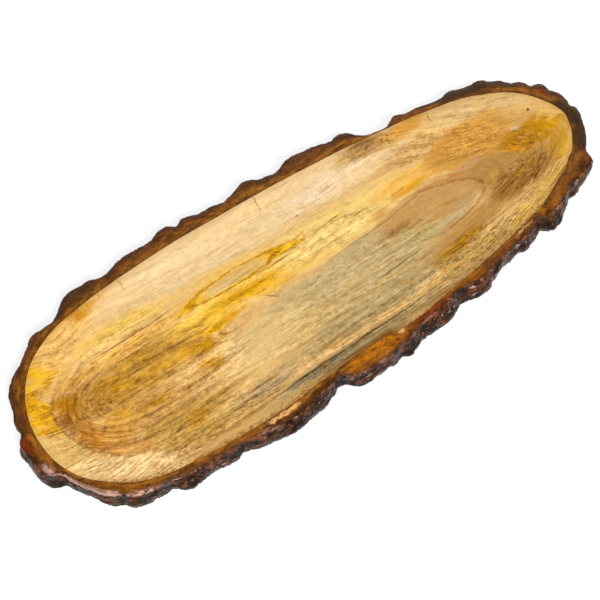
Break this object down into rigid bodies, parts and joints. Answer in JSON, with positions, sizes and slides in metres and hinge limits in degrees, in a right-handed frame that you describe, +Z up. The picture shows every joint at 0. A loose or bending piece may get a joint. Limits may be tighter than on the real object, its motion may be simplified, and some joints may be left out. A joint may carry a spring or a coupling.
{
  "type": "live-edge serving platter",
  "caption": "Long egg-shaped wooden serving platter carved from a slab, with a shallow sloping dish and rough bark left all round its edge.",
  "frame": {"origin": "on the flat underside, below the middle of the dish's length and width", "axes": "+X along the slab towards the narrow end, +Z up out of the dish"},
  "size_m": [0.5163, 0.1951, 0.026],
  "materials": {
    "wood": "oiled honey-coloured wood in the dish, varnished dark brown bark round it"
  },
  "bodies": {
    "root": {"platter": "wood"}
  },
  "joints": []
}
